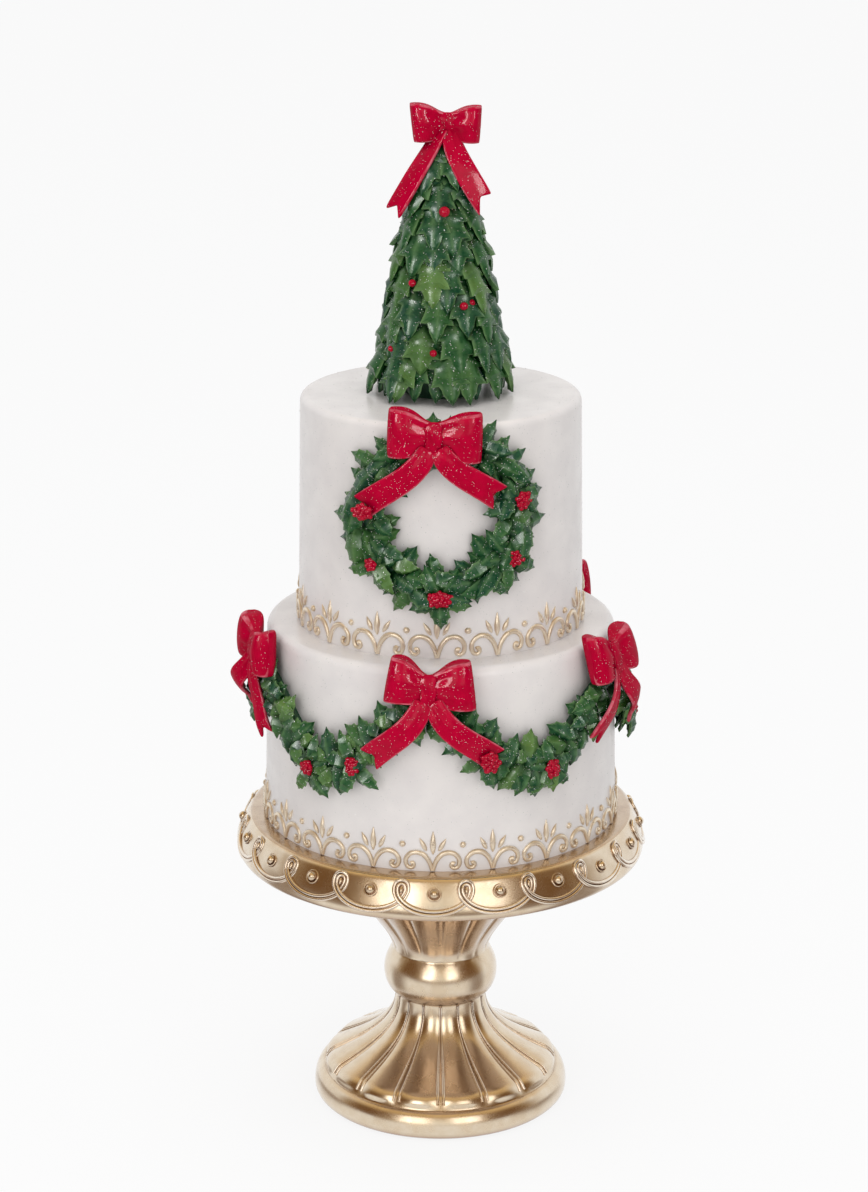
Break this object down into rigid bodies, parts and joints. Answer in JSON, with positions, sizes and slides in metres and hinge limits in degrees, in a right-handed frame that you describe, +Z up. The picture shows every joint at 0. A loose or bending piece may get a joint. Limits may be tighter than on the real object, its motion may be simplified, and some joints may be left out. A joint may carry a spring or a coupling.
{
  "type": "tiered christmas cake ornament",
  "caption": "Round tiered christmas cake ornament with white tiers, a holly tree on top, a wreath, holly swags and red bows, standing on a gilded fluted pedestal.",
  "frame": {"origin": "middle of the foot's flat underside", "axes": "+Z up along the cake's axis, -Y to the front with the wreath, +X to the right seen from the front"},
  "size_m": [0.1628, 0.1628, 0.4076],
  "materials": {
    "gilt": "champagne gold paint with a satin sheen over cast resin",
    "icing": "white satin paint with fine clear glitter over cast resin",
    "holly": "hand-painted green leaves with a thin gloss and clear glitter",
    "ribbon": "glossy crimson enamel with sparse clear glitter",
    "berry": "glossy crimson enamel"
  },
  "bodies": {
    "root": {"lower_tier": "icing", "pedestal": "gilt", "plate": "gilt", "swag_1": "holly", "swag_2": "holly", "swag_3": "holly", "swag_4": "holly", "swag_5": "holly", "swag_berries_1_1": "berry", "swag_berries_1_2": "berry", "swag_berries_2_1": "berry", "swag_berries_2_2": "berry", "swag_berries_3_1": "berry", "swag_berries_3_2": "berry", "swag_berries_4_1": "berry", "swag_berries_4_2": "berry", "swag_berries_5_1": "berry", "swag_berries_5_2": "berry", "tier_bow_1": "ribbon", "tier_bow_2": "ribbon", "tier_bow_3": "ribbon", "tier_bow_4": "ribbon", "tier_bow_5": "ribbon", "tree": "holly", "tree_berry_1": "berry", "tree_berry_10": "berry", "tree_berry_11": "berry", "tree_berry_12": "berry", "tree_berry_2": "berry", "tree_berry_3": "berry", "tree_berry_4": "berry", "tree_berry_5": "berry", "tree_berry_6": "berry", "tree_berry_7": "berry", "tree_berry_8": "berry", "tree_berry_9": "berry", "tree_bow": "ribbon", "upper_tier": "icing", "wreath": "holly", "wreath_berries_1": "berry", "wreath_berries_2": "berry", "wreath_berries_3": "berry", "wreath_berries_4": "berry", "wreath_berries_5": "berry", "wreath_bow": "ribbon"}
  },
  "joints": []
}
